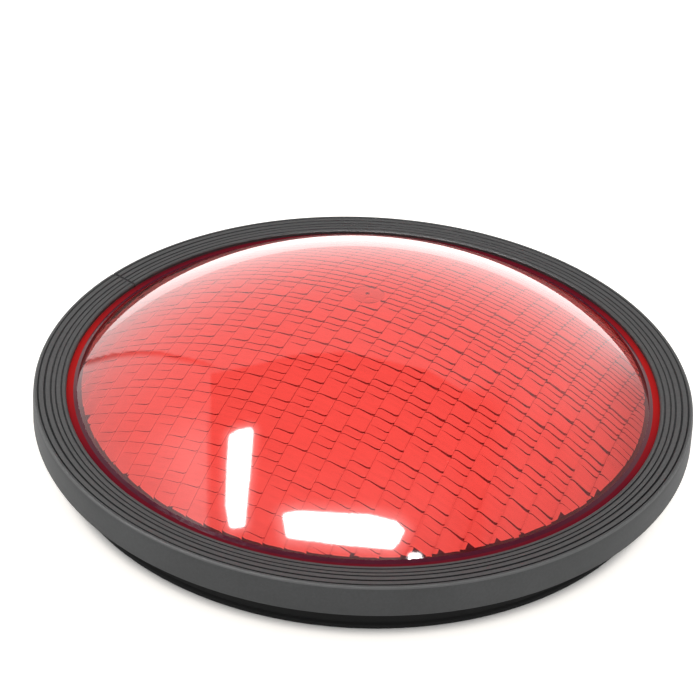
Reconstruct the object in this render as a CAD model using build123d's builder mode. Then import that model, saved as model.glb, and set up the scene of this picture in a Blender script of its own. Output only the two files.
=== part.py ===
from build123d import *

import os
from math import ceil, hypot, sqrt

# Round signal lens: a moulded dome, smooth outside and tiled with prisms inside, whose
# flange is held in a ribbed rubber ring. Millimetres, +Z up through the dome, origin on
# the table under the dome's apex. The tile columns run along Y.

# Lens dome and flange
dome_radius = 138.0  # where the dome meets the top of the flange
dome_rise = 43.2  # from the top of the flange to the apex
wall = 3.5  # from the outer sphere to the sphere that the tiles follow
flange_width = 13.5  # from the dome's foot out to the flange's rim
flange_thickness = 3.5

# Prism tiles on the inside of the dome
tile_margin = 4.5  # plain band between the outermost tiles and the dome's foot
column_width = 9.0
row_pitch = 4.5
rows_per_module = 3
riser = 0.8  # height of the step between two rows, at the middle of the dome
riser_gain_y = 0.4  # how much higher the steps are at the +Y rim, and lower at the -Y rim
riser_gain_x = 0.15  # the same towards the +X and -X rims
column_tip = 0.35  # how far each tile column leans down towards +X, across its width
row_stagger = 0.3  # unit of the offset between the rows of neighbouring pairs of columns
stagger_cycle = (0, 2, -1, 1, -2, 0, -1)
shortest_chord = 30.0  # a column that would be shorter than this at the rim is left out

# Gate mark at the apex, on the inside
gate_radius = 8.0
gate_height = 0.5
gate_pit_radius = 1.0
gate_pit_depth = 0.9

# Rubber ring
ring_cover = 5.0  # rubber outside the slot, at the ring's top corner
ring_flare = 1.2  # how far the outer wall leans out towards its foot
ring_wall_height = 13.9
ring_top_fall = 2.1  # how far the ring's top falls towards the dome
lip_overlap = 9.3  # how far the lip reaches in over the flange
lip_thickness = 2.0  # at its inner edge
slot_clearance = 0.5  # round the flange's rim
leg_height = 16.6
leg_thickness = 4.6
leg_setback = 9.4  # from the ring's top corner in to the leg's outer face
bead_height = 3.0
bead_depth = 1.2
ring_corner_chamfer = 0.7
groove_setbacks = (3.1, 5.9, 10.2)  # from the ring's top corner, along the top
groove_size = 1.0  # side of the square whose lower corner cuts each V groove
seam_azimuth = 174.8  # where the ring's two ends are joined
seam_angle = 0.16  # degrees of ring that the score line of the joint takes
seam_depth = 0.5

# Worked out from the sizes above
flange_radius = dome_radius + flange_width
slot_radius = flange_radius + slot_clearance
ring_radius = slot_radius + ring_cover
ring_foot_radius = ring_radius + ring_flare
leg_radius = ring_radius - leg_setback
lip_inner_radius = flange_radius - lip_overlap
ring_top = leg_height + ring_wall_height
lip_top = ring_top - ring_top_fall
flange_top = lip_top - lip_thickness
flange_bottom = flange_top - flange_thickness
top_fall_slope = ring_top_fall / (ring_radius - lip_inner_radius)
sphere_radius = (dome_radius**2 + dome_rise**2) / (2 * dome_rise)
sphere_centre = flange_top + dome_rise - sphere_radius
inner_sphere_radius = sphere_radius - wall
tile_zone_radius = dome_radius - tile_margin


def inner_height(x, y):
    """Height of the sphere that the tiles follow, above the point x, y."""
    return sphere_centre + sqrt(inner_sphere_radius**2 - x**2 - y**2)


def riser_at(x, y):
    """Height of the step at x, y. Its upright face looks towards -Y."""
    return riser + (riser_gain_y * y + riser_gain_x * x) / tile_zone_radius


def chord(x):
    """Half the width of the tile zone along Y, at x."""
    return sqrt(max(tile_zone_radius**2 - x**2, 0.0))


def module_splits(column, module):
    """Rows of one module of tiles at which the surface steps, for one column."""
    all_small = (column + module) % 2 if module >= 0 else (3 * column + 2 * module) % 4 == 0
    if all_small:
        return list(range(rows_per_module))
    skipped = 1 + (column + module) % (rows_per_module - 1)
    return [row for row in range(rows_per_module) if row != skipped]


def tile_edges(column, reach):
    """Y of each step of one column, from one side of the tile zone to the other."""
    module_length = rows_per_module * row_pitch
    modules = ceil(reach / module_length)
    edges = []
    for module in range(-modules, modules + 1):
        for row in module_splits(column, module):
            step = stagger_cycle[(column // 2 + row) % len(stagger_cycle)] if row else 0
            edges.append(module * module_length + row * row_pitch + row_stagger * step)
    return edges


def tile_column(column):
    """The hollow under one column of tiles: a saw-tooth profile extruded along X."""
    left = column * column_width
    right = left + column_width
    middle = (left + right) / 2
    reach = chord(min(abs(left), abs(right)))
    edges = tile_edges(column, reach)
    climb = inner_height(right, 0) - inner_height(left, 0) - column_tip
    offset_left = (climb + column_tip) / 2
    outline = [(edges[0], 0)]
    for near, far in zip(edges, edges[1:]):
        near_height = inner_height(middle, near) - riser_at(middle, near)
        outline.append((near, near_height - offset_left))
        outline.append((far, inner_height(middle, far) - offset_left))
    outline.append((edges[-1], 0))

    with BuildPart() as hollow:
        with BuildSketch(Plane.YZ.offset(left)):
            with BuildLine():
                Polyline(*outline, close=True)
            make_face()
        extrude(amount=hypot(column_width, climb), dir=(column_width, 0, climb))
        with BuildSketch():
            Circle(tile_zone_radius)
        extrude(amount=ring_top + dome_rise, mode=Mode.INTERSECT)
    return hollow.part


# Lens: one moulding
gate_face = inner_height(0, 0) - riser - gate_height
columns_aside = ceil(tile_zone_radius / column_width)
hollows = [
    tile_column(column)
    for column in range(-columns_aside, columns_aside)
    if 2 * chord(min(abs(column), abs(column + 1)) * column_width) > shortest_chord
]

with BuildPart() as lens:
    with BuildSketch(Plane.XZ):
        with BuildLine():
            Line((0, sphere_centre + sphere_radius), (0, flange_bottom))
            Line((0, flange_bottom), (flange_radius, flange_bottom))
            Line((flange_radius, flange_bottom), (flange_radius, flange_top))
            Line((flange_radius, flange_top), (dome_radius, flange_top))
            RadiusArc((dome_radius, flange_top), (0, sphere_centre + sphere_radius), -sphere_radius)
        make_face()
    revolve(axis=Axis.Z)
    add(hollows, mode=Mode.SUBTRACT)
    with BuildSketch(Plane.XY.offset(gate_face)):
        Circle(gate_radius)
    extrude(amount=wall)
    with BuildSketch(Plane.XY.offset(gate_face)):
        Circle(gate_pit_radius)
    extrude(amount=gate_pit_depth, mode=Mode.SUBTRACT)

lens.part.label = "lens"

# Gasket: one extruded section, bent into a ring and joined end to end
with BuildPart() as gasket:
    with BuildSketch(Plane.XZ.rotated((0, 0, seam_azimuth))) as section:
        with BuildLine():
            Polyline(
                (ring_radius, ring_top),
                (lip_inner_radius, lip_top),
                (lip_inner_radius, flange_top),
                (slot_radius, flange_top),
                (slot_radius, flange_bottom),
                (leg_radius - leg_thickness, flange_bottom),
                (leg_radius - leg_thickness, 0),
                (leg_radius, 0),
                (leg_radius + bead_depth, bead_height / 2),
                (leg_radius, bead_height),
                (leg_radius, leg_height),
                (ring_foot_radius, leg_height),
                close=True,
            )
        make_face()
        chamfer(section.vertices().group_by(Axis.Y)[-1], length=ring_corner_chamfer)
        for setback in groove_setbacks:
            with Locations((ring_radius - setback, ring_top - setback * top_fall_slope)):
                Rectangle(groove_size, groove_size, rotation=45, mode=Mode.SUBTRACT)
    revolve(axis=Axis.Z)
    with BuildSketch(Plane.XZ.rotated((0, 0, seam_azimuth))) as skin:
        add(section.sketch_local)
        offset(section.sketch_local, amount=-seam_depth, mode=Mode.SUBTRACT)
    revolve(axis=Axis.Z, revolution_arc=seam_angle, mode=Mode.SUBTRACT)

gasket.part.label = "gasket"

os.makedirs("parts", exist_ok=True)
export_step(lens.part, "parts/lens.step")
export_step(gasket.part, "parts/gasket.step")
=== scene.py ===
"""Looks of the round signal lens: a clear red prism-tiled dome in a black rubber ring, on a white table."""

from math import atan2, ceil, cos, floor, hypot, pi, radians, sin, sqrt

import bmesh
import bpy
from mathutils import Matrix, Vector


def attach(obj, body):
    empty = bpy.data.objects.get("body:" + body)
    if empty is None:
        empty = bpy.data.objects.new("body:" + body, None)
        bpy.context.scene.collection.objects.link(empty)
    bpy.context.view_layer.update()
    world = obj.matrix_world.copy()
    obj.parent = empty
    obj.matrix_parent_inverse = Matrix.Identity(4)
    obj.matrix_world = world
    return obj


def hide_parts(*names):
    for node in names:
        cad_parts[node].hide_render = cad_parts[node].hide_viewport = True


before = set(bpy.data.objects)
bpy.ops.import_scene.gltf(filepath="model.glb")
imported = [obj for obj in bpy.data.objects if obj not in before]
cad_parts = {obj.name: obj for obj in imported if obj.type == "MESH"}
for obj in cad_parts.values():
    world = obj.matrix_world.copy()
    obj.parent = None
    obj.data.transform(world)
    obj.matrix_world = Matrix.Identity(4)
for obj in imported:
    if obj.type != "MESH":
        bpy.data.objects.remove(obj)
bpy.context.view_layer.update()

MM = 0.001

# Sizes of the lens, in millimetres: the same driving dimensions as the solids
DOME_RADIUS = 138.0  # where the dome meets the top of the flange
DOME_RISE = 43.2
DOME_ROOT_ROUND = 1.0
WALL = 3.5  # from the outer sphere to the sphere that the tiles follow
FLANGE_RADIUS = 151.5
FLANGE_THICKNESS = 3.5
SEAT_RADIUS = 138.6  # outer edge of the matt band on the underside, painted dark as shade

# Prism tiles. Their columns run along Y and their upright steps look towards -Y
TILE_ZONE_RADIUS = 133.8
COLUMN_WIDTH = 9.0
END_COLUMN = 15  # tiles stop at this many columns either side of the middle
ROW_PITCH = 4.5
ROWS_PER_MODULE = 3
ROW_STAGGER = 0.3
STAGGER_CYCLE = (0, 2, -1, 1, -2, 0, -1)
RISER = 1.1  # height of a step at the middle of the dome
RISER_GAIN_Y = 0.65  # how much higher the steps are at the +Y rim
RISER_GAIN_X = 0.35  # the same towards the +X rim
COLUMN_TIP = 0.3  # how far each tile column leans down towards +X
WIDE_TILE = 1.5  # tiles longer than this many rows are wide ones
WIDE_GAIN = 1.4  # their steps are this much higher
LEFT_SHARE = 0.35  # height of a step's left end, as a share of its right end's
FAR_LEFT_SHARE = 0.6  # the same for the first module beyond the middle
FAR_LEFT_GAIN = 0.06  # added for each further module
FAR_LEFT_LIMIT = 0.9
FADING_ROW = 2  # steps of this row run out to nothing on the left, on the near side
CORNER_COLUMN = 3  # past this column the right ends of each module's first row are higher
CORNER_GAIN = 1.25
RIM_SHARE = 0.8  # most of the wall that a step may take away at the rim
JAGGED_SHARE = 0.2  # tiles cut down to less than this by the rim are part of the matt band
EDGE_BEND = (  # bend of a tile's near and far edge: place across the tile, shift along Y
    (0.0, -1.0), (0.05, -0.6), (0.11, -0.2), (0.19, 0.0), (0.81, 0.0), (0.89, 0.2), (0.95, 0.6), (1.0, 1.0),
)

# Gate mark on the inside, near the apex
GATE_X, GATE_Y = -0.8, 2.0
GATE_RADIUS = 7.9
GATE_DROP = 0.35  # from the tiles' sphere down to the face that the recess is cut to
GATE_PIT_RADIUS = 1.0
GATE_PIT_DEPTH = 0.9

# Sizes of the rubber ring
RING_RADIUS = 157.0  # at its top corner
RING_FLARE = 1.2
RING_WALL_HEIGHT = 13.9
RING_TOP_FALL = 2.1
LIP_OVERLAP = 9.3
LIP_THICKNESS = 2.0
SLOT_CLEARANCE = 0.5
LEG_HEIGHT = 16.6
LEG_THICKNESS = 4.6
LEG_SETBACK = 9.4
BEAD_HEIGHT = 3.0
BEAD_DEPTH = 1.2
TOP_CORNER = ((0.35, 0.25), (0.9, 0.0))  # its rounding: setback from the corner and drop
TOP_CORNER_FOOT = 0.8  # where that rounding starts on the wall
FLARE_TOP = 3.0  # height that the wall's upper, steeper stretch takes
FLARE_SHARE = 0.3  # share of the flare that this stretch has
GROOVES = (  # setback from the top corner, half width and depth
    (2.1, 0.42, 0.45), (5.0, 0.5, 0.5), (7.9, 0.45, 0.35), (10.1, 0.36, 0.3), (12.7, 0.42, 0.3),
)
GROOVE_FLOOR = 0.35  # share of a groove's width that is its floor
GROOVE_SIDE = 0.85  # share of the depth that its sides reach
LIP_ROUND = 0.5
LIP_CROWN = 0.05
FOOT_CHAMFER = 0.3
FOOT_EDGE = 0.2
BEAD_SHOULDER = 0.8  # share of the bead's depth at its two shoulders
BEAD_END = 0.6  # height from the bead's end to its shoulder
HEM_ROUND = 0.8  # rounding of the wall's lower corner
HEM_EDGE = (0.2, 0.25)  # its middle point: setback and height
SEAM_AZIMUTH = radians(174.8)
SEAM_HALF = radians(0.28)  # half the angle that the joint's score line takes
SEAM_DEPTH = 0.7

# Worked out from the sizes above
LIP_INNER_RADIUS = FLANGE_RADIUS - LIP_OVERLAP
RING_FOOT_RADIUS = RING_RADIUS + RING_FLARE
LEG_RADIUS = RING_RADIUS - LEG_SETBACK
RING_TOP = LEG_HEIGHT + RING_WALL_HEIGHT
LIP_TOP = RING_TOP - RING_TOP_FALL
FLANGE_TOP = LIP_TOP - LIP_THICKNESS
FLANGE_BOTTOM = FLANGE_TOP - FLANGE_THICKNESS
SPHERE_RADIUS = (DOME_RADIUS**2 + DOME_RISE**2) / (2 * DOME_RISE)
SPHERE_CENTRE = FLANGE_TOP + DOME_RISE - SPHERE_RADIUS
INNER_SPHERE = SPHERE_RADIUS - WALL
BEND_STATIONS = tuple(u for u, _ in EDGE_BEND)
SEAM_WALL_START = LEG_HEIGHT - 1.0  # the score line cuts the outer wall above this height
SEAM_TOP_START = FLANGE_TOP + 0.5  # and the ring's top above this one

# Fineness of the meshes
STATIONS = 240  # corners of the polygon that stands for each circle of the lens
RING_STATIONS = 360
GATE_STATIONS = 48
DOME_RINGS = 60
LENS_SHARP_ANGLE = radians(8)
RING_SHARP_ANGLE = radians(28)
SAME_PLACE = 1e-6  # millimetres
ON_RIM = 1e-5
ON_STEP = 1e-7

# Kinds of face, which are also the material slots
SKIN, TILE, STEP, SEAT, BAND, FOOT = range(6)  # lens
WALL_FACE, GROOVE, RIDGE, EDGE = range(4)  # rubber ring

# Camera. The object is turned about Z in front of it
IMAGE = 700  # pixels, width and height of the photograph
FOCAL = 1300.0  # pixels
SENSOR = 36  # millimetres
CAMERA_YAW, CAMERA_PITCH, CAMERA_ROLL = -0.01348, 0.57262, 0.03941
CAMERA_DISTANCE = 3.36016 * RING_RADIUS
CAMERA_HEIGHT = 2.21215 * RING_RADIUS + RING_TOP
CAMERA_TURN = radians(24)
FRONT = (sin(CAMERA_TURN), -cos(CAMERA_TURN), 0)  # from the object's middle towards the camera, level

# Colours and brightness
PLASTIC_IOR = 1.58
THROUGH = (1.0, 0.56, 0.53)  # what the plastic lets through to the table
LEG_FADE = 0.002  # metres below the wall over which the rubber gets dull and takes its painted shade
BAND_ENDS_RANGE = (0.02, 0.08)  # metres from the middle over which a band takes its ends' colour, which is painted shade
TABLE_WHITE = (0.92, 0.915, 0.905, 1)
WORLD_LEVEL = 1.22
ROOM_LEVEL = 0.75  # the room, as mirrored by the object
BACKDROP_DISTANCE = 3.0  # metres
BACKDROP_TOP = radians(50)
BACKDROP_HALF_WIDTH = radians(130)
BACKDROP_GLOW = 1.75
TABLE_SIZE = 12  # metres
FLOOR_GLOW = 1.3  # of the table's far side, as mirrored by the object
FLOOR_GLOW_RANGE = (0.1, 0.3)  # metres behind the object's middle
FLOOR_LIFT = 0.55  # of the table outside the contact shadow, as seen by the camera
FLOOR_LIFT_RANGE = (0.1475, 0.1535)  # metres from the object's middle
FLOOR_LIFT_COLOUR = (1.0, 0.95, 0.88, 1)
LAMP_PEAK = 40
LAMP_ROUNDING = 4.0  # pixels
LAMP_EDGE = (-3.0, 2.0)  # pixels over which a lamp's brightness rises

# Places in the photograph, in pixels of its 700 x 700 frame, where the dome mirrors lamps and room.
# A box is left, top, right, bottom; a range is where something rises from nothing to its full strength
STRIP = [
    (233, 438), (239, 434), (249, 432), (246, 470), (243, 500), (241, 523), (233, 524), (230, 505), (231, 470),
]
STRIP_BOX = (208, 415, 272, 545)
WINDOW = [
    (287, 517), (297, 515), (370, 519), (394, 525), (400, 531), (395, 541), (391, 545), (345, 541), (290, 534),
]
WINDOW_BOX = (255, 485, 430, 572)
SPARK = [(409, 564), (412, 557), (418, 557), (421, 564)]
SPARK_BOX = (398, 548, 432, 572)
LAMPS = (  # name, outline, box, brightness and reach of the halo, distance from the dome in metres
    ("strip_light", STRIP, STRIP_BOX, 3, 14, 0.9),
    ("window_light", WINDOW, WINDOW_BOX, 3, 20, 0.8),
    ("spark_light", SPARK, SPARK_BOX, 2, 5, 0.7),
)
LAMP_SPACING = 1.0
ROOM_BOX = (58, 330, 664, 600)
ROOM_SPACING = 2.0
ROOM_DISTANCE = 1.2  # metres
DARK_OUTLINE = [  # the large dark shape
    (210, 640), (211, 374), (227, 371), (260, 364), (293, 355), (343, 352), (377, 359), (427, 370), (460, 389),
    (493, 397), (504, 406), (499, 447), (490, 497), (470, 640),
]
DARK_LEVEL = 0.05
DARK_EDGE = 1.5  # softness of its edge
DARK_EDGE_GAIN, DARK_EDGE_X = 25, (460, 500)  # how much softer it is at the right
DARK_EDGE_INSIDE = 0.6  # share of the softness that lies inside the outline
DARK_GAIN, DARK_GAIN_Y, DARK_GAIN_END_X = 0.35, (430, 520), (430, 480)
PANEL_LEVEL, PANEL_X, PANEL_END_X, PANEL_Y = 1.2, (130, 205), (205, 209), (395, 450)
FRONT_LEVEL, FRONT_Y, FRONT_END_X = 0.35, (420, 470), (195, 209)
DIM_LEVEL, DIM_X, DIM_END_X, DIM_Y = 0.3, (480, 500), (540, 640), (400, 440)  # right of the dark shape
ARC = [(60, 372), (82, 362), (113, 354), (140, 351), (160, 352), (200, 361), (226, 369)]  # the thin dark line
ARC_DEPTH, ARC_ABOVE, ARC_BELOW, ARC_END_X = 0.85, (-1.5, 0.0), (1.0, 7.0), (200, 226)
RIGHT_DEPTH, RIGHT_X, RIGHT_Y = 0.6, (560, 640), (335, 400)  # darkening towards the right rim


# ---------------------------------------------------------------- meshes

def circle_polygon(radius, count=STATIONS):
    """Corners of a regular polygon, anticlockwise."""
    return [(radius * cos(2 * pi * i / count), radius * sin(2 * pi * i / count)) for i in range(count)]


def add_object(name, data):
    """Puts a mesh or a camera into the scene."""
    piece = bpy.data.objects.new(name, data)
    bpy.context.scene.collection.objects.link(piece)
    return piece


def mesh_object(name, points, faces, kinds, materials, smooth_kinds, sharp_angle):
    """A closed mesh from points in millimetres; kinds holds each face's material slot."""
    mesh = bpy.data.meshes.new(name)
    mesh.from_pydata([tuple(c * MM for c in p) for p in points], [], faces)
    for material in materials:
        mesh.materials.append(material)
    for polygon, kind in zip(mesh.polygons, kinds):
        polygon.material_index = kind
        polygon.use_smooth = kind in smooth_kinds
    mesh.validate()
    mesh.update()
    mesh.set_sharp_from_angle(angle=sharp_angle)
    outward = bmesh.new()
    outward.from_mesh(mesh)
    bmesh.ops.recalc_face_normals(outward, faces=outward.faces)
    outward.to_mesh(mesh)
    outward.free()
    return add_object(name, mesh)


class Builder:
    """Collects polygons and shares the points that coincide."""

    KEY = 5  # decimals of a millimetre that count as the same point

    def __init__(self):
        self.index = {}
        self.points = []
        self.faces = []
        self.kinds = []

    def point(self, p):
        """Number of the point at p, which is added if it is new."""
        key = tuple(round(c, self.KEY) + 0.0 for c in p)
        if key not in self.index:
            self.index[key] = len(self.points)
            self.points.append(key)
        return self.index[key]

    def face(self, corners, kind):
        """Adds a polygon, unless its corners coincide so far that nothing is left."""
        ring = []
        for corner in corners:
            i = self.point(corner)
            if not ring or ring[-1] != i:
                ring.append(i)
        while len(ring) > 1 and ring[0] == ring[-1]:
            ring.pop()
        if len(set(ring)) >= 3:
            self.faces.append(ring)
            self.kinds.append(kind)

    def split_upright_edges(self):
        """Puts every point that lies on an upright edge into the faces that use that edge."""
        stacks = {}
        for i, (x, y, z) in enumerate(self.points):
            stacks.setdefault((x, y), []).append((z, i))
        for stack in stacks.values():
            stack.sort()
        for f, ring in enumerate(self.faces):
            whole = []
            for a, b in zip(ring, ring[1:] + ring[:1]):
                whole.append(a)
                pa, pb = self.points[a], self.points[b]
                if pa[:2] == pb[:2]:
                    low, high = sorted((pa[2], pb[2]))
                    between = [i for z, i in stacks[pa[:2]] if low < z < high]
                    whole.extend(between if pb[2] > pa[2] else between[::-1])
            self.faces[f] = whole


# ---------------------------------------------------------------- prism tiles

def inner_height(x, y):
    """Height of the sphere that the tiles follow."""
    return SPHERE_CENTRE + sqrt(INNER_SPHERE**2 - x * x - y * y)


def dropped_height(x, y, drop):
    """The tiles' sphere lowered by drop, less so near the rim where the wall runs out."""
    height = inner_height(x, y)
    return height - min(drop, RIM_SHARE * max(height - FLANGE_BOTTOM, 0.0))


def module_splits(column, module):
    """Rows of one module of tiles at which the surface steps, for one column.

    Beyond the middle one module in five has a wide tile, and on the near side three in four have one.
    """
    if module >= 0:
        has_wide_tile = (column + 2 * module) % 5 == 0
    else:
        has_wide_tile = (3 * column + 2 * module) % 4 != 0
    if not has_wide_tile:
        return list(range(ROWS_PER_MODULE))
    skipped = 1 + (column + module) % (ROWS_PER_MODULE - 1)
    return [row for row in range(ROWS_PER_MODULE) if row != skipped]


def column_tiles(column, reach):
    """Tiles of one column as (near y, far y, left riser, right riser)."""
    length = ROWS_PER_MODULE * ROW_PITCH
    modules = ceil(reach / length)
    steps = []
    for module in range(-modules, modules + 1):
        for row in module_splits(column, module):
            stagger = STAGGER_CYCLE[(column + row) % len(STAGGER_CYCLE)] if row else 0
            steps.append((module * length + row * ROW_PITCH + ROW_STAGGER * stagger, module, row))
    tiles = []
    for (near, module, row), (far, _, _) in zip(steps, steps[1:]):
        x = (column + 0.5) * COLUMN_WIDTH
        riser = RISER + (RISER_GAIN_Y * near + RISER_GAIN_X * x) / TILE_ZONE_RADIUS
        if far - near > WIDE_TILE * ROW_PITCH:
            riser *= WIDE_GAIN
        if module >= 0:
            left_share = min(FAR_LEFT_SHARE + FAR_LEFT_GAIN * module, FAR_LEFT_LIMIT)
        else:
            left_share = 0.0 if row == FADING_ROW else LEFT_SHARE
        corner_gain = CORNER_GAIN if row == 0 and column > CORNER_COLUMN else 1.0
        tiles.append((near, far, riser * left_share, riser * corner_gain))
    return tiles


class Tile:
    """One tile: a patch whose near and far edges bend where they meet the next columns."""

    def __init__(self, left, right, near, far, left_riser, right_riser):
        self.left, self.right, self.near, self.far = left, right, near, far
        self.corners = (
            dropped_height(left, near, left_riser),
            dropped_height(right, near, COLUMN_TIP + right_riser),
            dropped_height(left, far, 0.0),
            dropped_height(right, far, COLUMN_TIP),
        )

    def bend(self, x):
        """How far both edges have moved along Y at x."""
        u = (x - self.left) / (self.right - self.left)
        for (u0, b0), (u1, b1) in zip(EDGE_BEND, EDGE_BEND[1:]):
            if u <= u1:
                return b0 + (b1 - b0) * (u - u0) / (u1 - u0)
        return EDGE_BEND[-1][1]

    def height(self, x, y):
        """Height of the tile's face at x, y."""
        u = (x - self.left) / (self.right - self.left)
        v = (y - self.bend(x) - self.near) / (self.far - self.near)
        a, b, c, d = self.corners
        return (a * (1 - u) + b * u) * (1 - v) + (c * (1 - u) + d * u) * v


def clip_to_circle(corners, circle):
    """Part of a convex outline, in plan, that lies inside a convex anticlockwise polygon."""
    for (ax, ay), (bx, by) in zip(circle, circle[1:] + circle[:1]):
        sides = [(bx - ax) * (y - ay) - (by - ay) * (x - ax) for x, y in corners]
        if min(sides) >= 0:
            continue
        kept = []
        for i, (x, y) in enumerate(corners):
            j = (i + 1) % len(corners)
            if sides[i] >= 0:
                kept.append((x, y))
            if (sides[i] < 0) != (sides[j] < 0):
                t = sides[i] / (sides[i] - sides[j])
                kept.append((x + t * (corners[j][0] - x), y + t * (corners[j][1] - y)))
        corners = kept
        if not corners:
            return []
    return corners


def plan_area(corners):
    """Area of an outline in plan."""
    pairs = zip(corners, corners[1:] + corners[:1])
    return abs(sum(ax * by - bx * ay for (ax, ay), (bx, by) in pairs)) / 2


def half_chord(x, circle):
    """Half the polygon's width along Y, at x."""
    for (ax, ay), (bx, by) in zip(circle, circle[1:]):
        if by > ay >= 0 or ay > by >= 0:
            low, high = sorted((ax, bx))
            if low <= x <= high and ay >= 0 and by >= 0:
                return ay + (by - ay) * (x - ax) / (bx - ax)
    return 0.0


def profile(tiles, x):
    """Upright profile of one column's tiles at x: (near y, far y, near height, far height)."""
    lines = []
    for t in tiles:
        near, far = t.near + t.bend(x), t.far + t.bend(x)
        lines.append((near, far, t.height(x, near), t.height(x, far)))
    return lines


def profile_at(lines, y0, y1):
    """Heights of a profile at the two ends of an interval that holds no step."""
    middle = (y0 + y1) / 2
    for near, far, z0, z1 in lines:
        if near <= middle <= far:
            slope = (z1 - z0) / (far - near)
            return z0 + slope * (y0 - near), z0 + slope * (y1 - near)
    return FLANGE_BOTTOM, FLANGE_BOTTOM


def boundary_breaks(left_lines, right_lines, reach):
    """Y of every step, end and crossing of two neighbouring profiles."""
    ys = {-reach, reach}
    for lines in (left_lines, right_lines):
        for near, far, _, _ in lines:
            ys.update(y for y in (near, far) if -reach < y < reach)
    ordered = sorted(ys)
    crossings = []
    for y0, y1 in zip(ordered, ordered[1:]):
        l0, l1 = profile_at(left_lines, y0, y1)
        r0, r1 = profile_at(right_lines, y0, y1)
        if (l0 - r0) * (l1 - r1) < 0:
            crossings.append(y0 + (y1 - y0) * (l0 - r0) / ((l0 - r0) - (l1 - r1)))
    return sorted(ys.union(crossings))


def add_side_walls(builder, x, left_lines, right_lines, breaks):
    """Steps between two neighbouring columns, in the plane between them."""
    for y0, y1 in zip(breaks, breaks[1:]):
        l0, l1 = profile_at(left_lines, y0, y1)
        r0, r1 = profile_at(right_lines, y0, y1)
        builder.face([(x, y0, l0), (x, y1, l1), (x, y1, r1), (x, y0, r0)], STEP)


def add_tiles(builder):
    """The whole tiled inside of the dome, down to the flange's underside; returns its rim in plan."""
    circle = circle_polygon(TILE_ZONE_RADIUS)
    columns = {}
    for column in range(-END_COLUMN, END_COLUMN):
        left, right = column * COLUMN_WIDTH, (column + 1) * COLUMN_WIDTH
        reach = half_chord(min(abs(left), abs(right)), circle)
        columns[column] = [Tile(left, right, *t) for t in column_tiles(column, reach)]

    breaks = {}
    for edge in range(-END_COLUMN, END_COLUMN + 1):
        x = edge * COLUMN_WIDTH
        left_lines = profile(columns.get(edge - 1, []), x)
        right_lines = profile(columns.get(edge, []), x)
        breaks[edge] = boundary_breaks(left_lines, right_lines, half_chord(abs(x), circle))
        add_side_walls(builder, x, left_lines, right_lines, breaks[edge])

    rim = set()
    for column, tiles in columns.items():
        for tile, following in zip(tiles, tiles[1:] + [None]):
            for u0, u1 in zip(BEND_STATIONS, BEND_STATIONS[1:]):
                left_breaks = breaks[column] if u0 == 0 else []
                right_breaks = breaks[column + 1] if u1 == 1 else []
                rim |= add_tile_strip(builder, tile, following, u0, u1, left_breaks, right_breaks, circle)
    if END_COLUMN * COLUMN_WIDTH < TILE_ZONE_RADIUS:
        for edge in (-END_COLUMN, END_COLUMN):
            rim.update((edge * COLUMN_WIDTH, y) for y in breaks[edge])
    return rim


def add_tile_strip(builder, tile, following, u0, u1, left_breaks, right_breaks, circle):
    """One strip of a tile, with the step beyond it; returns the points it has on the rim."""
    a, b = (tile.left + COLUMN_WIDTH * u for u in (u0, u1))
    near_a, near_b = (tile.near + tile.bend(x) for x in (a, b))
    far_a, far_b = (tile.far + tile.bend(x) for x in (a, b))
    corners = [(a, near_a), (b, near_b)]
    corners += [(b, y) for y in right_breaks if near_b < y < far_b]
    corners += [(b, far_b), (a, far_a)]
    corners += [(a, y) for y in reversed(left_breaks) if near_a < y < far_a]
    inside = TILE_ZONE_RADIUS * cos(pi / STATIONS)
    if max(hypot(*c) for c in corners) > inside:
        corners = clip_to_circle(corners, circle)
    if not corners:
        return set()
    whole = (b - a) * (tile.far - tile.near)
    kind = SEAT if plan_area(corners) < JAGGED_SHARE * whole else TILE
    builder.face([(x, y, tile.height(x, y)) for x, y in reversed(corners)], kind)
    rim = set()
    on_rim = [hypot(x, y) > inside - SAME_PLACE and on_polygon(x, y) for x, y in corners]
    for i, (x, y) in enumerate(corners):
        j = (i + 1) % len(corners)
        nx, ny = corners[j]
        apart = abs(nx - x) + abs(ny - y) > SAME_PLACE
        if on_rim[i] and on_rim[j] and apart and on_polygon((x + nx) / 2, (y + ny) / 2):
            wall = [(x, y, tile.height(x, y)), (nx, ny, tile.height(nx, ny))]
            builder.face(wall + [(nx, ny, FLANGE_BOTTOM), (x, y, FLANGE_BOTTOM)], TILE)
            rim.update([(x, y), (nx, ny)])
    if following:
        on_far = sorted(c for c in corners if abs(c[1] - tile.far - tile.bend(c[0])) < ON_STEP)
        if len(on_far) >= 2:
            (x0, y0), (x1, y1) = on_far[0], on_far[-1]
            low = [(x0, y0, following.height(x0, y0)), (x1, y1, following.height(x1, y1))]
            high = [(x1, y1, tile.height(x1, y1)), (x0, y0, tile.height(x0, y0))]
            builder.face(low + high, STEP)
    return rim


def on_polygon(x, y):
    """True if a point lies on the tile zone's polygon."""
    step = 2 * pi / STATIONS
    middle = (floor(atan2(y, x) / step) + 0.5) * step
    return abs(x * cos(middle) + y * sin(middle) - TILE_ZONE_RADIUS * cos(step / 2)) < ON_RIM


def add_strip(builder, lower, upper, kind):
    """Band of faces between two rings with the same number of points."""
    count = len(lower)
    for i in range(count):
        j = (i + 1) % count
        builder.face([lower[i], lower[j], upper[j], upper[i]], kind)


def ring(radius, height):
    """Points of one level circle of the lens."""
    return [(x, y, height) for x, y in circle_polygon(radius)]


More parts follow.
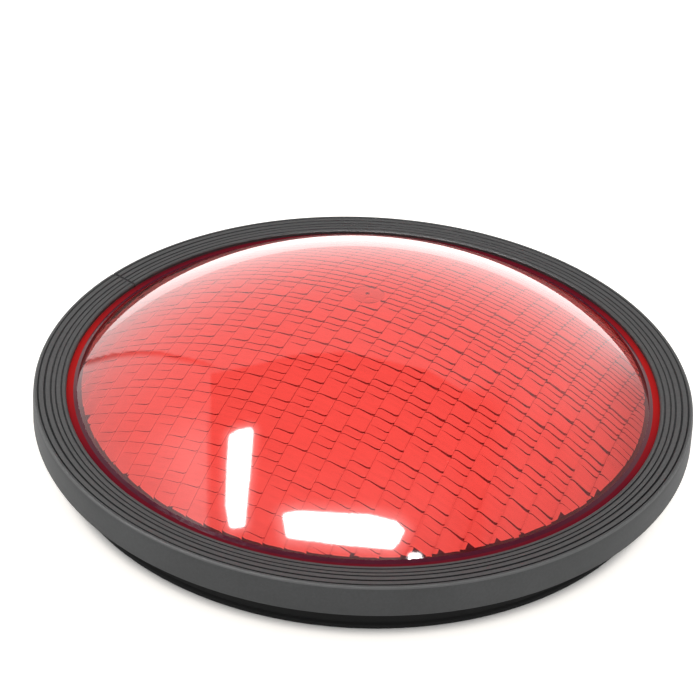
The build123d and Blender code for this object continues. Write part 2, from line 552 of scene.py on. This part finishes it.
def add_flange_underside(builder, rim):
    """Flat ring between the tile zone's rim and the flange's outer edge, seen from below."""
    inner = sorted(rim, key=lambda p: atan2(p[1], p[0]) % (2 * pi))
    outer = circle_polygon(SEAT_RADIUS)
    angles_in = [atan2(y, x) % (2 * pi) for x, y in inner]
    angles_out = [2 * pi * i / STATIONS for i in range(STATIONS)]
    i = j = 0
    while i < len(inner) or j < len(outer):
        a = (*inner[i % len(inner)], FLANGE_BOTTOM)
        b = (*outer[j % len(outer)], FLANGE_BOTTOM)
        next_in = angles_in[i + 1] if i + 1 < len(inner) else 2 * pi + angles_in[0]
        next_out = angles_out[j + 1] if j + 1 < len(outer) else 2 * pi
        if (next_in < next_out and i < len(inner)) or j >= len(outer):
            c = (*inner[(i + 1) % len(inner)], FLANGE_BOTTOM)
            i += 1
        else:
            c = (*outer[(j + 1) % len(outer)], FLANGE_BOTTOM)
            j += 1
        builder.face([a, c, b], SEAT)
    add_strip(builder, ring(SEAT_RADIUS, FLANGE_BOTTOM), ring(FLANGE_RADIUS, FLANGE_BOTTOM), TILE)


def dome_profile():
    """Outer profile from the flange's lower corner up to just short of the apex."""
    points = [(FLANGE_RADIUS, FLANGE_BOTTOM), (FLANGE_RADIUS, FLANGE_TOP)]
    points.append((DOME_RADIUS + DOME_ROOT_ROUND, FLANGE_TOP))
    foot = atan2(DOME_RADIUS, SPHERE_RADIUS - DOME_RISE)
    lift = DOME_ROOT_ROUND / SPHERE_RADIUS
    for i in range(DOME_RINGS):
        angle = (foot - lift) * (1 - i / DOME_RINGS)
        points.append((SPHERE_RADIUS * sin(angle), SPHERE_CENTRE + SPHERE_RADIUS * cos(angle)))
    return points


def make_lens(clear, step, seat, band, foot):
    """The moulding, as one closed skin: flange and dome outside, tiles and gate mark inside."""
    builder = Builder()
    rim = add_tiles(builder)
    add_flange_underside(builder, rim)
    rings = [ring(r, z) for r, z in dome_profile()]
    for n, (lower, upper) in enumerate(zip(rings, rings[1:])):
        # The flange's edge and top take the band's painted glow and shade, and the dome's first ring takes the
        # foot's painted shade
        add_strip(builder, lower, upper, {0: BAND, 1: BAND, 2: FOOT}.get(n, SKIN))
    apex = (0.0, 0.0, SPHERE_CENTRE + SPHERE_RADIUS)
    for a, b in zip(rings[-1], rings[-1][1:] + rings[-1][:1]):
        builder.face([a, b, apex], SKIN)
    builder.split_upright_edges()
    # step, seat, band and foot are painted: shade on all four, and a glow on the band as well
    lens = mesh_object(
        "lens_moulding", builder.points, builder.faces, builder.kinds,
        [clear, clear, step, seat, band, foot], {SKIN, BAND, FOOT}, LENS_SHARP_ANGLE,
    )
    add_gate_mark(lens)
    return lens


def add_gate_mark(lens):
    """Shallow round recess with a small pit, on the inside near the apex."""
    face = inner_height(0, 0) - GATE_DROP
    cut_cylinder(lens, GATE_RADIUS, face - WALL, face)
    cut_cylinder(lens, GATE_PIT_RADIUS, face - WALL, face + GATE_PIT_DEPTH)


def cut_cylinder(piece, radius, low, high):
    """Cuts an upright cylinder at the gate mark's place out of a solid."""
    count = GATE_STATIONS
    disc = [(GATE_X + x, GATE_Y + y) for x, y in circle_polygon(radius, count)]
    points = [Vector((x, y, z)) * MM for z in (low, high) for x, y in disc]
    faces = [tuple(reversed(range(count))), tuple(range(count, 2 * count))]
    faces += [(i, (i + 1) % count, count + (i + 1) % count, count + i) for i in range(count)]
    mesh = bpy.data.meshes.new("tool")
    mesh.from_pydata(points, [], faces)
    tool = add_object("tool", mesh)
    cut = piece.modifiers.new("cut", "BOOLEAN")
    cut.operation = "DIFFERENCE"
    cut.solver = "EXACT"
    cut.object = tool
    bpy.context.view_layer.objects.active = piece
    bpy.ops.object.modifier_apply(modifier="cut")
    bpy.data.objects.remove(tool)


# ---------------------------------------------------------------- rubber ring

def ring_section():
    """Closed outline of the ring's section, (radius, height), and the kind of face from some of its points."""
    fall = RING_TOP_FALL / (RING_RADIUS - LIP_INNER_RADIUS)
    outline, kinds = [], {0: EDGE}

    def top(setback, depth=0.0):
        outline.append((RING_RADIUS - setback, RING_TOP - setback * fall - depth))

    for setback, drop in TOP_CORNER:
        top(setback, drop)
    for setback, half, depth in GROOVES:
        start = len(outline)
        kinds[start - 1] = RIDGE
        top(setback - half)
        top(setback - half * GROOVE_FLOOR, depth * GROOVE_SIDE)
        top(setback, depth)
        top(setback + half * GROOVE_FLOOR, depth * GROOVE_SIDE)
        top(setback + half)
        kinds.update(dict.fromkeys(range(start, len(outline) - 1), GROOVE))
    kinds[len(outline) - 1] = RIDGE
    slot = FLANGE_RADIUS + SLOT_CLEARANCE
    outline += [
        (LIP_INNER_RADIUS + LIP_ROUND, LIP_TOP + LIP_CROWN),
        (LIP_INNER_RADIUS, LIP_TOP - LIP_ROUND),
        (LIP_INNER_RADIUS, FLANGE_TOP),
        (slot, FLANGE_TOP),
        (slot, FLANGE_BOTTOM),
        (LEG_RADIUS - LEG_THICKNESS, FLANGE_BOTTOM),
        (LEG_RADIUS - LEG_THICKNESS, FOOT_CHAMFER),
        (LEG_RADIUS - LEG_THICKNESS + FOOT_CHAMFER, 0.0),
        (LEG_RADIUS - FOOT_EDGE, 0.0),
        (LEG_RADIUS + BEAD_DEPTH * BEAD_SHOULDER, BEAD_END),
        (LEG_RADIUS + BEAD_DEPTH, BEAD_HEIGHT / 2),
        (LEG_RADIUS + BEAD_DEPTH * BEAD_SHOULDER, BEAD_HEIGHT - BEAD_END),
        (LEG_RADIUS, BEAD_HEIGHT),
        (LEG_RADIUS, LEG_HEIGHT),
        (RING_FOOT_RADIUS - HEM_ROUND, LEG_HEIGHT),
        (RING_FOOT_RADIUS - HEM_EDGE[0], LEG_HEIGHT + HEM_EDGE[1]),
        (RING_FOOT_RADIUS, LEG_HEIGHT + HEM_ROUND),
        (RING_RADIUS + RING_FLARE * FLARE_SHARE, RING_TOP - FLARE_TOP),
        (RING_RADIUS, RING_TOP - TOP_CORNER_FOOT),
    ]
    kinds[len(outline) - 1] = EDGE
    return outline, kinds


def make_gasket(rubber, groove, ridge, edge):
    """The ring: its section carried once round, with the score line of the joint."""
    builder = Builder()
    section, kinds = ring_section()
    middle = sum(r for r, _ in section) / len(section)
    angles = [SEAM_AZIMUTH + 2 * pi * i / RING_STATIONS for i in range(RING_STATIONS)]
    angles = [SEAM_AZIMUTH, SEAM_AZIMUTH + SEAM_HALF] + angles[1:] + [SEAM_AZIMUTH + 2 * pi - SEAM_HALF]
    loops = []
    for n, angle in enumerate(angles):
        loop = []
        for r, z in section:
            if n == 0 and z > SEAM_TOP_START:
                z_cut = z - SEAM_DEPTH
            else:
                z_cut = z
            if n == 0 and r > middle and z > SEAM_WALL_START:
                r_cut = r - SEAM_DEPTH
            else:
                r_cut = r
            loop.append((r_cut * cos(angle), r_cut * sin(angle), z_cut))
        loops.append(loop)
    for n, (loop, following) in enumerate(zip(loops, loops[1:] + loops[:1])):
        in_seam = n in (0, len(loops) - 1)
        for i in range(len(section)):
            j = (i + 1) % len(section)
            # the score line's faces take the grooves' painted shade
            kind = GROOVE if in_seam else kinds.get(i, WALL_FACE)
            builder.face([loop[i], loop[j], following[j], following[i]], kind)
    return mesh_object(
        "rubber_ring", builder.points, builder.faces, builder.kinds, [rubber, groove, ridge, edge],
        {WALL_FACE, GROOVE, RIDGE, EDGE}, RING_SHARP_ANGLE,
    )


# ---------------------------------------------------------------- materials

def new_material(name):
    """An empty node material; returns it with its nodes and links."""
    material = bpy.data.materials.new(name)
    material.use_nodes = True
    nodes, links = material.node_tree.nodes, material.node_tree.links
    nodes.clear()
    return material, nodes, links


def add_node(nodes, kind, inputs=None, **settings):
    """A shader node with its settings, and the values of inputs that aren't linked."""
    node = nodes.new(kind)
    for setting, value in settings.items():
        setattr(node, setting, value)
    for socket, value in (inputs or {}).items():
        node.inputs[socket].default_value = value
    return node


def add_range(nodes, low, high, to_low=0.0, to_high=1.0, **settings):
    """A node that maps the range from low to high to another range, and holds its ends beyond."""
    inputs = {"From Min": low, "From Max": high, "To Min": to_low, "To Max": to_high}
    return add_node(nodes, "ShaderNodeMapRange", inputs, **settings)


def add_noise(nodes, links, place, scale, detail):
    """Noise over the object's own coordinates."""
    noise = add_node(nodes, "ShaderNodeTexNoise", {"Scale": scale, "Detail": detail})
    links.new(place.outputs["Object"], noise.inputs["Vector"])
    return noise


def add_bump(nodes, links, noise, shader, strength, depth):
    """Fine relief of the surface, depth metres deep at full strength."""
    bump = add_node(nodes, "ShaderNodeBump", {"Strength": strength, "Distance": depth})
    links.new(noise.outputs["Fac"], bump.inputs["Height"])
    links.new(bump.outputs["Normal"], shader.inputs["Normal"])


def add_detail(nodes, links, shader, scale, low, high, depth):
    """Fine unevenness: roughness between low and high, and a bump; returns the coordinates' node."""
    place = nodes.new("ShaderNodeTexCoord")
    noise = add_noise(nodes, links, place, scale, 3)
    rough = add_range(nodes, 0.3, 0.7, low, high)
    links.new(noise.outputs["Fac"], rough.inputs["Value"])
    links.new(rough.outputs[0], shader.inputs["Roughness"])
    add_bump(nodes, links, noise, shader, 0.5, depth)
    return place


def finish_material(nodes, links, shader):
    """Makes a shader the surface of its material."""
    out = nodes.new("ShaderNodeOutputMaterial")
    links.new(shader.outputs[0], out.inputs["Surface"])


def red_plastic(name, tint, roughness):
    """Clear tinted plastic with faint flow streaks. Light passes it to the table as through a filter."""
    material, nodes, links = new_material(name)
    glass = add_node(nodes, "ShaderNodeBsdfPrincipled", {"Transmission Weight": 1.0, "IOR": PLASTIC_IOR})
    place = add_detail(nodes, links, glass, 260, roughness, roughness + 0.03, 0.000004)
    stretch = add_node(nodes, "ShaderNodeMapping", {"Scale": (90, 520, 90)})
    streaks = add_node(nodes, "ShaderNodeTexNoise", {"Scale": 1, "Detail": 4})
    spread = add_range(nodes, 0.35, 0.65)
    darker = (*(0.96 * value for value in tint), 1)
    lighter = (*(min(1.04 * value, 1.0) for value in tint), 1)
    shade = add_node(nodes, "ShaderNodeMix", {"A": darker, "B": lighter}, data_type="RGBA")
    clear = add_node(nodes, "ShaderNodeBsdfTransparent", {"Color": (*THROUGH, 1)})
    path = nodes.new("ShaderNodeLightPath")
    either = add_node(nodes, "ShaderNodeMath", operation="MAXIMUM")
    mix = nodes.new("ShaderNodeMixShader")
    links.new(place.outputs["Object"], stretch.inputs["Vector"])
    links.new(stretch.outputs[0], streaks.inputs["Vector"])
    links.new(streaks.outputs["Fac"], spread.inputs["Value"])
    links.new(spread.outputs[0], shade.inputs["Factor"])
    links.new(shade.outputs["Result"], glass.inputs["Base Color"])
    links.new(path.outputs["Is Shadow Ray"], either.inputs[0])
    links.new(path.outputs["Is Diffuse Ray"], either.inputs[1])
    links.new(either.outputs[0], mix.inputs["Fac"])
    links.new(glass.outputs[0], mix.inputs[1])
    links.new(clear.outputs[0], mix.inputs[2])
    finish_material(nodes, links, mix)
    return material


def matt_band(name, colour, roughness, ends=None, specular=0.1, front_only=False):
    """Opaque surface; ends is a colour of painted shade that it takes towards the front and, unless
    front_only, the back.
    """
    material, nodes, links = new_material(name)
    constant = {"Base Color": (*colour, 1), "Specular IOR Level": specular}
    shader = add_node(nodes, "ShaderNodeBsdfPrincipled", constant)
    place = add_detail(nodes, links, shader, 700, roughness - 0.08, roughness + 0.08, 0.00003)
    # painted shade: the ends' colour is laid on by the direction towards the front
    if ends:
        along = add_node(nodes, "ShaderNodeVectorMath", {1: FRONT}, operation="DOT_PRODUCT")
        one_side = "MAXIMUM" if front_only else "ABSOLUTE"
        side = add_node(nodes, "ShaderNodeMath", {1: 0.0}, operation=one_side)
        share = add_range(nodes, *BAND_ENDS_RANGE)
        mix = add_node(nodes, "ShaderNodeMix", {"A": (*colour, 1), "B": (*ends, 1)}, data_type="RGBA")
        links.new(place.outputs["Object"], along.inputs[0])
        links.new(along.outputs["Value"], side.inputs[0])
        links.new(side.outputs[0], share.inputs["Value"])
        links.new(share.outputs[0], mix.inputs["Factor"])
        links.new(mix.outputs["Result"], shader.inputs["Base Color"])
    finish_material(nodes, links, shader)
    return material


def black_rubber():
    """The ring's wall and leg: dusty and smudged; below the wall duller, and darker as painted shade under the
    overhang.
    """
    material, nodes, links = new_material("black_rubber")
    shader = nodes.new("ShaderNodeBsdfPrincipled")
    place = nodes.new("ShaderNodeTexCoord")
    split = nodes.new("ShaderNodeSeparateXYZ")
    wall_start = (LEG_HEIGHT * MM - LEG_FADE, LEG_HEIGHT * MM)
    rough = add_range(nodes, *wall_start, 0.9, 0.5)
    # painted shade: below the wall the colour drops to a few hundredths, for the shade under the overhang
    upper = add_range(nodes, *wall_start, 0.03, 1.0)
    grain = add_noise(nodes, links, place, 900, 4)
    ramp = nodes.new("ShaderNodeValToRGB")
    dark, light = ramp.color_ramp.elements
    dark.position, dark.color = 0.3, (0.025, 0.026, 0.026, 1)
    light.position, light.color = 0.75, (0.033, 0.034, 0.035, 1)
    dust = ramp.color_ramp.elements.new(0.82)
    dust.color = (0.09, 0.09, 0.09, 1)
    smudges = add_noise(nodes, links, place, 28, 3)
    cloudy = add_range(nodes, 0.35, 0.65, 0.86, 1.12)
    both = add_node(nodes, "ShaderNodeMath", operation="MULTIPLY")
    shade = add_node(nodes, "ShaderNodeVectorMath", operation="SCALE")
    links.new(place.outputs["Object"], split.inputs[0])
    links.new(split.outputs["Z"], upper.inputs["Value"])
    links.new(split.outputs["Z"], rough.inputs["Value"])
    links.new(rough.outputs[0], shader.inputs["Roughness"])
    links.new(smudges.outputs["Fac"], cloudy.inputs["Value"])
    links.new(upper.outputs[0], both.inputs[0])
    links.new(cloudy.outputs[0], both.inputs[1])
    links.new(grain.outputs["Fac"], ramp.inputs["Fac"])
    links.new(ramp.outputs["Color"], shade.inputs[0])
    links.new(both.outputs[0], shade.inputs["Scale"])
    links.new(shade.outputs[0], shader.inputs["Base Color"])
    add_bump(nodes, links, grain, shader, 0.15, 0.0002)
    finish_material(nodes, links, shader)
    return material


# ---------------------------------------------------------------- camera

def camera_axes():
    """The camera's place in metres, and its right, up and forward directions."""
    turn = Matrix.Rotation(CAMERA_TURN, 3, "Z")
    flat = cos(CAMERA_PITCH)
    forward = Vector((sin(CAMERA_YAW) * flat, cos(CAMERA_YAW) * flat, -sin(CAMERA_PITCH)))
    flat_right = Vector((cos(CAMERA_YAW), -sin(CAMERA_YAW), 0))
    flat_up = flat_right.cross(forward)
    right = cos(CAMERA_ROLL) * flat_right + sin(CAMERA_ROLL) * flat_up
    up = -sin(CAMERA_ROLL) * flat_right + cos(CAMERA_ROLL) * flat_up
    place = Vector((0, -CAMERA_DISTANCE, CAMERA_HEIGHT)) * MM
    return turn @ place, turn @ right, turn @ up, turn @ forward


def make_camera():
    """The camera that the photograph was taken with, as fitted to its outlines."""
    place, right, up, forward = camera_axes()
    data = bpy.data.cameras.new("camera")
    data.sensor_width = SENSOR
    data.lens = FOCAL / IMAGE * SENSOR
    camera = add_object("camera", data)
    turn = Matrix((right, up, -forward)).transposed().to_4x4()
    camera.matrix_world = Matrix.Translation(place) @ turn
    bpy.context.scene.camera = camera


def dome_mirror(px, py):
    """Where the camera's ray through a pixel meets the dome, and the direction it is mirrored in."""
    place, right, up, forward = camera_axes()
    ray = (forward + right * ((px - IMAGE / 2) / FOCAL) - up * ((py - IMAGE / 2) / FOCAL)).normalized()
    centre = Vector((0, 0, SPHERE_CENTRE * MM))
    radius = SPHERE_RADIUS * MM
    offset = place - centre
    b = ray.dot(offset)
    c = offset.length_squared - radius**2
    hit = place + ray * (-b - sqrt(max(b * b - c, 0)))
    normal = (hit - centre).normalized()
    return hit, ray - 2 * ray.dot(normal) * normal


# ---------------------------------------------------------------- stage and light

def outline_distance(outline, px, py):
    """How far inside a closed outline a pixel lies; negative outside."""
    inside, nearest = False, 1e9
    for (ax, ay), (bx, by) in zip(outline, outline[1:] + outline[:1]):
        if (ay > py) != (by > py) and px < ax + (py - ay) * (bx - ax) / (by - ay):
            inside = not inside
        t = ((px - ax) * (bx - ax) + (py - ay) * (by - ay)) / ((bx - ax) ** 2 + (by - ay) ** 2)
        t = min(max(t, 0.0), 1.0)
        nearest = min(nearest, hypot(px - ax - t * (bx - ax), py - ay - t * (by - ay)))
    return nearest if inside else -nearest


def smooth(value, low, high):
    """Rises from 0 at low to 1 at high."""
    t = min(max((value - low) / (high - low), 0.0), 1.0)
    return t * t * (3 - 2 * t)


def add_reflected_only(name, mesh):
    """An object of the stage that shows only in mirror images."""
    piece = add_object(name, mesh)
    piece.visible_camera = False
    piece.visible_diffuse = False
    piece.visible_transmission = False
    piece.visible_shadow = False


def grid_faces(across, down):
    """Quads of a grid whose points are stored row by row, across + 1 to a row."""
    row = across + 1
    corners = [j * row + i for j in range(down) for i in range(across)]
    return [(a, a + 1, a + row + 1, a + row) for a in corners]


def mirror_card(name, box, spacing, distance, level, see_through=True):
    """A light card that shows on the dome inside a box of pixels; level gives its brightness there."""
    x0, y0, x1, y1 = box
    across, down = round((x1 - x0) / spacing), round((y1 - y0) / spacing)
    points, levels = [], []
    for j in range(down + 1):
        for i in range(across + 1):
            px, py = x0 + (x1 - x0) * i / across, y0 + (y1 - y0) * j / down
            hit, direction = dome_mirror(px, py)
            points.append(hit + direction * distance)
            levels.append(level(px, py, direction))
    mesh = bpy.data.meshes.new(name)
    mesh.from_pydata(points, [], grid_faces(across, down))
    shades = mesh.color_attributes.new("level", "FLOAT_COLOR", "POINT")
    for shade, value in zip(shades.data, levels):
        shade.color = (value, value, value, 1)
    material, nodes, links = new_material(name)
    shade = add_node(nodes, "ShaderNodeAttribute", attribute_name="level")
    light = nodes.new("ShaderNodeEmission")
    clear = nodes.new("ShaderNodeBsdfTransparent")
    both = nodes.new("ShaderNodeAddShader")
    links.new(shade.outputs["Color"], light.inputs["Color"])
    links.new(light.outputs[0], both.inputs[0])
    if see_through:
        links.new(clear.outputs[0], both.inputs[1])
    finish_material(nodes, links, both)
    mesh.materials.append(material)
    add_reflected_only(name, mesh)


def lamp_level(outline, halo, reach):
    """Brightness of a lamp with a soft edge and a faint halo round it."""
    def level(px, py, _):
        inside = outline_distance(outline, px, py) + LAMP_ROUNDING
        lamp = LAMP_PEAK * smooth(inside, *LAMP_EDGE) ** 2
        return lamp + halo * smooth(inside, -reach, LAMP_EDGE[1]) ** 2
    return level


def arc_height(px):
    """Height of the thin dark line at one pixel column, or None where it has ended."""
    for (ax, ay), (bx, by) in zip(ARC, ARC[1:]):
        if ax <= px <= bx:
            return ay + (by - ay) * (px - ax) / (bx - ax)
    return None


def room_level(px, py, direction):
    """Brightness of the room that the dome mirrors."""
    level = ROOM_LEVEL + (BACKDROP_GLOW - ROOM_LEVEL) * (1 - smooth(direction.z, 0, sin(BACKDROP_TOP)))
    level += PANEL_LEVEL * smooth(px, *PANEL_X) * (1 - smooth(px, *PANEL_END_X)) * smooth(py, *PANEL_Y)
    level += FRONT_LEVEL * smooth(py, *FRONT_Y) * (1 - smooth(px, *FRONT_END_X))
    softness = DARK_EDGE + DARK_EDGE_GAIN * smooth(px, *DARK_EDGE_X)
    inside = outline_distance(DARK_OUTLINE, px, py)
    shade = smooth(inside, -softness, softness * DARK_EDGE_INSIDE)
    dark = DARK_LEVEL + DARK_GAIN * smooth(py, *DARK_GAIN_Y) * (1 - smooth(px, *DARK_GAIN_END_X))
    level = level * (1 - shade) + dark * shade
    level -= DIM_LEVEL * smooth(px, *DIM_X) * (1 - smooth(px, *DIM_END_X)) * (1 - shade) * smooth(py, *DIM_Y)
    height = arc_height(px)
    if height is not None:
        below = py - height
        line = smooth(below, *ARC_ABOVE) * (1 - smooth(below, *ARC_BELOW)) * (1 - smooth(px, *ARC_END_X))
        level *= 1 - ARC_DEPTH * line
    return level * (1 - RIGHT_DEPTH * smooth(px, *RIGHT_X) * smooth(py, *RIGHT_Y))


def add_glow(nodes, links, measure, limits, top, ray, colour):
    """Emission for one kind of ray, which rises to top while measure goes through its limits."""
    rise = add_range(nodes, *limits, 0.0, top, interpolation_type="SMOOTHSTEP")
    path = nodes.new("ShaderNodeLightPath")
    gate = add_node(nodes, "ShaderNodeMath", operation="MULTIPLY")
    glow = add_node(nodes, "ShaderNodeEmission", {"Color": colour})
    links.new(measure, rise.inputs["Value"])
    links.new(rise.outputs[0], gate.inputs[0])
    links.new(path.outputs[ray], gate.inputs[1])
    links.new(gate.outputs[0], glow.inputs["Strength"])
    return glow


def make_floor():
    """White table. Its far side is brighter in mirror images, and the camera sees it lit round the shadow."""
    bpy.ops.mesh.primitive_plane_add(size=TABLE_SIZE, location=(0, 0, 0))
    table = bpy.context.object
    table.name = "table"
    material, nodes, links = new_material("white_table")
    shader = add_node(nodes, "ShaderNodeBsdfDiffuse", {"Color": TABLE_WHITE})
    place = nodes.new("ShaderNodeTexCoord")
    behind = add_node(nodes, "ShaderNodeVectorMath", {1: [-c for c in FRONT]}, operation="DOT_PRODUCT")
    around = add_node(nodes, "ShaderNodeVectorMath", operation="LENGTH")
    links.new(place.outputs["Object"], behind.inputs[0])
    links.new(place.outputs["Object"], around.inputs[0])
    glows = (
        (behind.outputs["Value"], FLOOR_GLOW_RANGE, FLOOR_GLOW, "Is Glossy Ray", (1, 1, 1, 1)),
        (around.outputs["Value"], FLOOR_LIFT_RANGE, FLOOR_LIFT, "Is Camera Ray", FLOOR_LIFT_COLOUR),
    )
    for measure, limits, top, ray, colour in glows:
        glow = add_glow(nodes, links, measure, limits, top, ray, colour)
        both = nodes.new("ShaderNodeAddShader")
        links.new(shader.outputs[0], both.inputs[0])
        links.new(glow.outputs[0], both.inputs[1])
        shader = both
    finish_material(nodes, links, shader)
    table.data.materials.append(material)


def make_backdrop():
    """Bright curved wall behind the lens, seen only as the sheen on the far side of the dome."""
    steps_round, steps_up = 24, 12
    points = []
    for i in range(steps_round + 1):
        angle = pi / 2 + CAMERA_TURN + BACKDROP_HALF_WIDTH * (i / steps_round - 0.5) * 2
        for j in range(steps_up + 1):
            lift = BACKDROP_TOP * j / steps_up
            direction = Vector((cos(angle) * cos(lift), sin(angle) * cos(lift), sin(lift)))
            points.append(direction * BACKDROP_DISTANCE)
    mesh = bpy.data.meshes.new("backdrop")
    mesh.from_pydata(points, [], grid_faces(steps_up, steps_round))
    material, nodes, links = new_material("backdrop_glow")
    place = nodes.new("ShaderNodeTexCoord")
    split = nodes.new("ShaderNodeSeparateXYZ")
    top = BACKDROP_DISTANCE * sin(BACKDROP_TOP)
    fade = add_range(nodes, 0.0, top, BACKDROP_GLOW, ROOM_LEVEL, interpolation_type="SMOOTHSTEP")
    light = nodes.new("ShaderNodeEmission")
    links.new(place.outputs["Object"], split.inputs[0])
    links.new(split.outputs["Z"], fade.inputs["Value"])
    links.new(fade.outputs[0], light.inputs["Strength"])
    finish_material(nodes, links, light)
    mesh.materials.append(material)
    add_reflected_only("backdrop", mesh)


def make_world():
    """Even white surroundings, dimmer in mirror images."""
    world = bpy.data.worlds.new("studio")
    bpy.context.scene.world = world
    world.use_nodes = True
    nodes, links = world.node_tree.nodes, world.node_tree.links
    nodes.clear()
    back = add_node(nodes, "ShaderNodeBackground", {"Color": (1, 1, 1, 1)})
    path = nodes.new("ShaderNodeLightPath")
    level = add_range(nodes, 0.0, 1.0, WORLD_LEVEL, ROOM_LEVEL)
    out = nodes.new("ShaderNodeOutputWorld")
    links.new(path.outputs["Is Glossy Ray"], level.inputs["Value"])
    links.new(level.outputs[0], back.inputs["Strength"])
    links.new(back.outputs[0], out.inputs["Surface"])


# ---------------------------------------------------------------- the scene

clear_red = red_plastic("clear_red", (0.95, 0.23, 0.21), 0.0)
# The steps take a dark red copy of the plastic: painted shade for the dark lines they make through the dome
step_red_painted_shade = red_plastic("step_red_painted_shade", (0.18, 0.0, 0.0), 0.3)
# The band under the flange is opaque dark purple: painted shade for the dark rim seen through the dome, darker
# still towards the front and back
seat_painted_shade = matt_band("seat_band_painted_shade", (0.12, 0.02, 0.03), 0.5, (0.09, 0.015, 0.03))
# The flange's edge and top are opaque bright red: a painted glow of the lit plastic, with painted shade
# towards the front and back
band_painted_glow_and_shade = matt_band("band_painted_glow_and_shade", (0.38, 0.014, 0.014), 0.4, (0.12, 0.008, 0.016), 0.0)
# The dome's foot ring is opaque dark maroon: painted shade at the root of the dome, darker still towards the
# front and back
foot_painted_shade = matt_band("foot_painted_shade", (0.10, 0.010, 0.018), 0.16, (0.07, 0.008, 0.02), 0.25)
lens = make_lens(clear_red, step_red_painted_shade, seat_painted_shade, band_painted_glow_and_shade, foot_painted_shade)
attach(lens, "root")
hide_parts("lens")

# The grooves are darker rubber: painted shade in the recesses, much darker towards the front
groove_painted_shade = matt_band("groove_painted_shade", (0.022, 0.022, 0.023), 0.6, (0.005, 0.005, 0.006), 0.15, True)
# The top face between the grooves is lighter than the wall: painted light on the upward-facing top
ridge_painted_light = matt_band("ridge_painted_light", (0.042, 0.042, 0.042), 0.5, specular=0.4)
# The rounded top corner is lighter still: a painted highlight along the ring's top edge
edge_painted_highlight = matt_band("edge_painted_highlight", (0.075, 0.075, 0.075), 0.5, specular=0.4)
gasket = make_gasket(black_rubber(), groove_painted_shade, ridge_painted_light, edge_painted_highlight)
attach(gasket, "root")
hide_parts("gasket")

make_camera()
make_floor()
make_world()
make_backdrop()
mirror_card("room", ROOM_BOX, ROOM_SPACING, ROOM_DISTANCE, room_level, see_through=False)
for lamp, outline, box, halo, reach, distance in LAMPS:
    mirror_card(lamp, box, LAMP_SPACING, distance, lamp_level(outline, halo, reach))

bpy.context.scene.view_settings.view_transform = "Standard"
